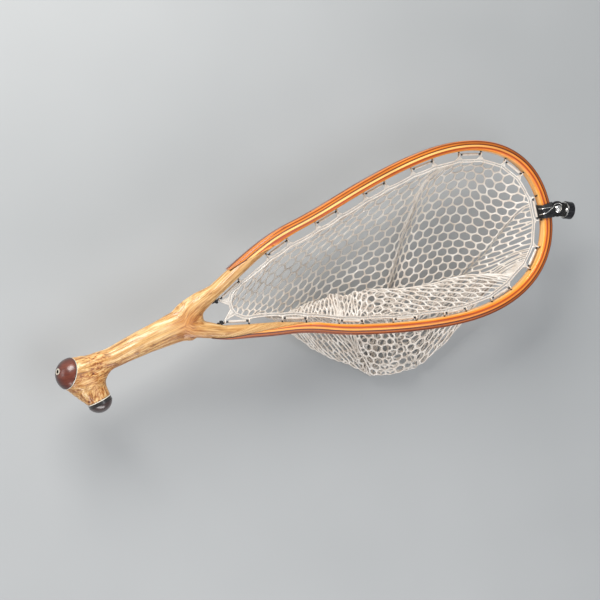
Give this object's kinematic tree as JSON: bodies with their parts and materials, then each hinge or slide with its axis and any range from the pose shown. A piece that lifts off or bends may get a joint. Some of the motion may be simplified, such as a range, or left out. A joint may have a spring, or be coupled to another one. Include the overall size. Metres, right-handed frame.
{
  "type": "landing net",
  "caption": "Fishing landing net: forked antler handle with domed wooden caps, laminated teardrop bow, laced clear rubber bag and a swivelling magnet release at the tip.",
  "frame": {"origin": "centre of the lanyard socket mouth, at the crown of the butt cap", "axes": "+X along the net, parallel to the axis of the hoop, from the butt to the tip; +Z normal to the hoop on the side a fish goes in; the bag hangs on -Z"},
  "size_m": [0.6015, 0.2357, 0.0821],
  "materials": {
    "antler": "polished natural antler, cream to tan with brown grooves and pits",
    "bow_orange": "gloss varnish, straight fine grain",
    "bow_light": "gloss varnish, pale straight grain",
    "bow_dark": "gloss varnish, dark striped grain",
    "spacer_light": "polished",
    "spacer_dark": "polished",
    "cap_wood": "high gloss, dark red-brown",
    "insert_metal": "polished, pale",
    "dowel_wood": "plain, hidden",
    "net_rubber": "clear milky moulded rubber",
    "cord_black": "braided, waxed",
    "tube_clear": "clear flexible tube",
    "cushion_rubber": "satin black",
    "clamp_metal": "black, bright at the cut edges",
    "screw_steel": "bright plated",
    "bracket_steel": "dark, worn bright at the edges",
    "cup_steel": "black, bright at the rim",
    "magnet_black": "black epoxy"
  },
  "bodies": {
    "net": {"antler_handle": "antler", "bow_inner_strip": "bow_orange", "bow_middle_strip": "bow_light", "bow_outer_strip": "bow_dark", "butt_spacer_light": "spacer_light", "butt_spacer_dark": "spacer_dark", "butt_cap": "cap_wood", "lanyard_insert": "insert_metal", "tine_spacer_light": "spacer_light", "tine_spacer_dark": "spacer_dark", "tine_cap": "cap_wood", "tine_dowel": "dowel_wood", "rubber_net": "net_rubber", "lacing_cord": "cord_black", "lacing_tubes": "tube_clear", "clamp_cushion": "cushion_rubber", "clamp_strap": "clamp_metal", "clamp_screw": "screw_steel", "clamp_washers": "screw_steel", "clamp_nut": "screw_steel"},
    "release": {"release_bracket": "bracket_steel", "bracket_rivets": "screw_steel", "magnet_cup": "cup_steel", "magnet_disc": "magnet_black"}
  },
  "joints": [
    {"name": "release_pivot", "type": "hinge", "parent": "net", "child": "release", "pos_m": [0.57951, 0.00501, -0.00345], "axis": [0, 0, 1], "range_deg": [-42, 78]}
  ]
}
